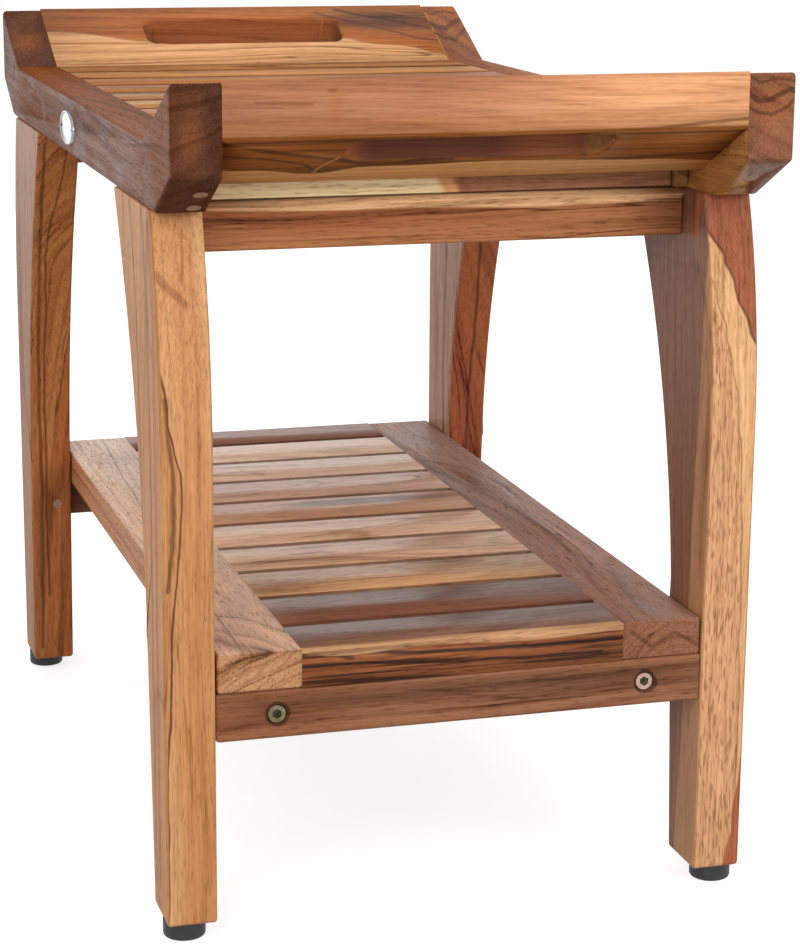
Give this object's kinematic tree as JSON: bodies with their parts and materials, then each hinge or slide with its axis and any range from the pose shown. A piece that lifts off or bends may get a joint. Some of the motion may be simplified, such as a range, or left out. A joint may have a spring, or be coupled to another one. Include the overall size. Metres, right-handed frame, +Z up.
{
  "type": "shower bench",
  "caption": "Teak shower bench with a slatted seat, raised slotted arm boards, curved legs and a slatted lower shelf.",
  "frame": {"origin": "on the floor under the middle of the bench", "axes": "+X along the bench towards its right end, +Y to its back, +Z up"},
  "size_m": [0.61, 0.3445, 0.48],
  "materials": {
    "teak_rail": "smooth oiled teak, mauve-brown",
    "teak_arm": "smooth oiled teak with pale sapwood along the lower edge",
    "teak_seat": "smooth oiled teak, each slat its own tone",
    "teak_frame": "smooth oiled teak",
    "teak_leg": "smooth oiled teak, laminated from strips of different tones",
    "teak_shelf": "smooth oiled teak, each slat its own tone",
    "pegs": "end grain of pale hardwood",
    "bolts": "stainless steel, satin",
    "inserts": "brass",
    "screws": "stainless steel",
    "badge": "bright satin metal with a bare face",
    "badge_pins": "dark metal",
    "pads": "black moulded pad"
  },
  "bodies": {
    "bench": {"side_rail_front": "teak_rail", "side_rail_back": "teak_rail", "arm_board_left": "teak_arm", "arm_board_right": "teak_arm", "seat_slat_1": "teak_seat", "seat_slat_2": "teak_seat", "seat_slat_3": "teak_seat", "seat_slat_4": "teak_seat", "seat_slat_5": "teak_seat", "seat_slat_6": "teak_seat", "seat_slat_7": "teak_seat", "seat_slat_8": "teak_seat", "seat_slat_9": "teak_seat", "ledger_front": "teak_frame", "ledger_back": "teak_frame", "cross_rail_left": "teak_frame", "cross_rail_right": "teak_frame", "apron_left": "teak_frame", "apron_right": "teak_frame", "stretcher_left": "teak_frame", "stretcher_right": "teak_frame", "shelf_batten_front": "teak_frame", "shelf_batten_back": "teak_frame", "leg_front_left": "teak_leg", "leg_front_right": "teak_leg", "leg_back_left": "teak_leg", "leg_back_right": "teak_leg", "shelf_rail_front": "teak_shelf", "shelf_rail_back": "teak_shelf", "shelf_slat_1": "teak_shelf", "shelf_slat_2": "teak_shelf", "shelf_slat_3": "teak_shelf", "shelf_slat_4": "teak_shelf", "shelf_slat_5": "teak_shelf", "shelf_slat_6": "teak_shelf", "shelf_slat_7": "teak_shelf", "shelf_slat_8": "teak_shelf", "shelf_slat_9": "teak_shelf", "shelf_slat_10": "teak_shelf", "arm_pegs": "pegs", "leg_pegs": "pegs", "leg_dowels": "pegs", "shelf_bolts": "bolts", "apron_bolts": "bolts", "shelf_bolt_inserts": "inserts", "apron_bolt_inserts": "inserts", "foot_inserts": "inserts", "seat_screws": "screws", "ledger_screws": "screws", "shelf_screws": "screws", "badge_plate": "badge", "badge_pins": "badge_pins"},
    "foot_front_left": {"foot_pad_front_left": "pads", "foot_stud_front_left": "screws"},
    "foot_front_right": {"foot_pad_front_right": "pads", "foot_stud_front_right": "screws"},
    "foot_back_left": {"foot_pad_back_left": "pads", "foot_stud_back_left": "screws"},
    "foot_back_right": {"foot_pad_back_right": "pads", "foot_stud_back_right": "screws"}
  },
  "joints": [
    {"name": "foot_front_left_screw", "type": "slide", "parent": "bench", "child": "foot_front_left", "axis": [0, 0, -1], "range_m": [0, 0.008]},
    {"name": "foot_front_right_screw", "type": "slide", "parent": "bench", "child": "foot_front_right", "axis": [0, 0, -1], "range_m": [0, 0.008]},
    {"name": "foot_back_left_screw", "type": "slide", "parent": "bench", "child": "foot_back_left", "axis": [0, 0, -1], "range_m": [0, 0.008]},
    {"name": "foot_back_right_screw", "type": "slide", "parent": "bench", "child": "foot_back_right", "axis": [0, 0, -1], "range_m": [0, 0.008]}
  ]
}
